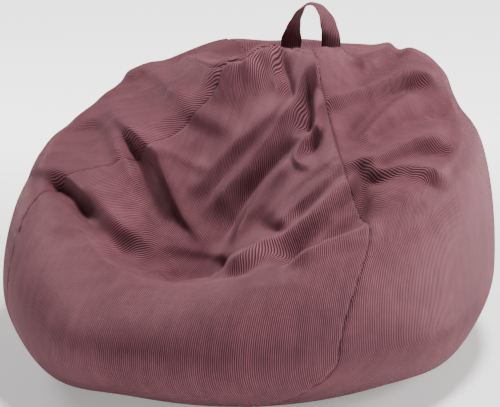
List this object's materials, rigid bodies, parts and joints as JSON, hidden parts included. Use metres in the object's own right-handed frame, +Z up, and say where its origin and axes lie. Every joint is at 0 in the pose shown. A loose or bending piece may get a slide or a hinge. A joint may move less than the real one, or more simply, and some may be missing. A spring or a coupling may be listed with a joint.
{
  "type": "bean bag chair",
  "caption": "Low round bean bag chair in ribbed cloth with a sunken seat, a raised back, a top strap handle and zips in the rear-left seam.",
  "frame": {"origin": "on the floor, under the middle of the chair's overall box", "axes": "+Z up, the seat's front faces -Y, +X to the right of someone looking at the chair from its front"},
  "size_m": [0.8505, 0.9423, 0.5766],
  "materials": {
    "corduroy": "fine-wale corduroy, dusty plum",
    "label_cloth": "woven tape, blank",
    "zip_tape": "woven tape",
    "zip_coil": "nylon coil",
    "zip_metal": "satin zinc",
    "liner_cloth": "plain thin polyester",
    "liner_zip": "woven tape and nylon coil",
    "beads": "expanded polystyrene beads"
  },
  "bodies": {
    "bag": {"front_panel": "corduroy", "right_panel": "corduroy", "rear_panel": "corduroy", "left_panel": "corduroy", "base_panel": "corduroy", "top_cap": "corduroy", "care_label": "label_cloth", "zip_tape_left": "zip_tape", "zip_tape_right": "zip_tape", "zip_coil_left": "zip_coil", "zip_coil_right": "zip_coil", "zip_top_stop_left": "zip_metal", "zip_top_stop_right": "zip_metal", "zip_bottom_stop": "zip_metal", "liner_left_half": "liner_cloth", "liner_right_half": "liner_cloth", "liner_base": "liner_cloth", "liner_zip_tape_left": "liner_zip", "liner_zip_tape_right": "liner_zip", "liner_zip_coil_left": "liner_zip", "liner_zip_coil_right": "liner_zip", "bead_filling": "beads"},
    "handle": {"handle_loop": "corduroy"},
    "cover_slider": {"zip_slider": "zip_metal", "zip_bridge": "zip_metal"},
    "pull": {"zip_pull": "zip_metal"},
    "inner_slider": {"liner_zip_slider": "zip_metal"}
  },
  "joints": [
    {"name": "handle_fold", "type": "hinge", "parent": "bag", "child": "handle", "pos_m": [0.015, 0.24, 0.4906], "axis": [0.9781, 0.2079, 0], "range_deg": [-50, 60], "stiffness_Nm_per_rad": 0.05},
    {"name": "cover_zip_run", "type": "hinge", "parent": "bag", "child": "cover_slider", "pos_m": [-0.06448, 0.06562, 0.24], "axis": [-0.7132, -0.7009, 0], "range_deg": [0, 49.3]},
    {"name": "zip_pull_swing", "type": "hinge", "parent": "cover_slider", "child": "pull", "pos_m": [-0.29431, 0.29949, 0.38909], "axis": [-0.7132, -0.7009, 0], "range_deg": [-165, 6]},
    {"name": "liner_zip_run", "type": "hinge", "parent": "bag", "child": "inner_slider", "pos_m": [-0.06448, 0.06562, 0.24], "axis": [-0.7132, -0.7009, 0], "range_deg": [0, 49.3]}
  ]
}
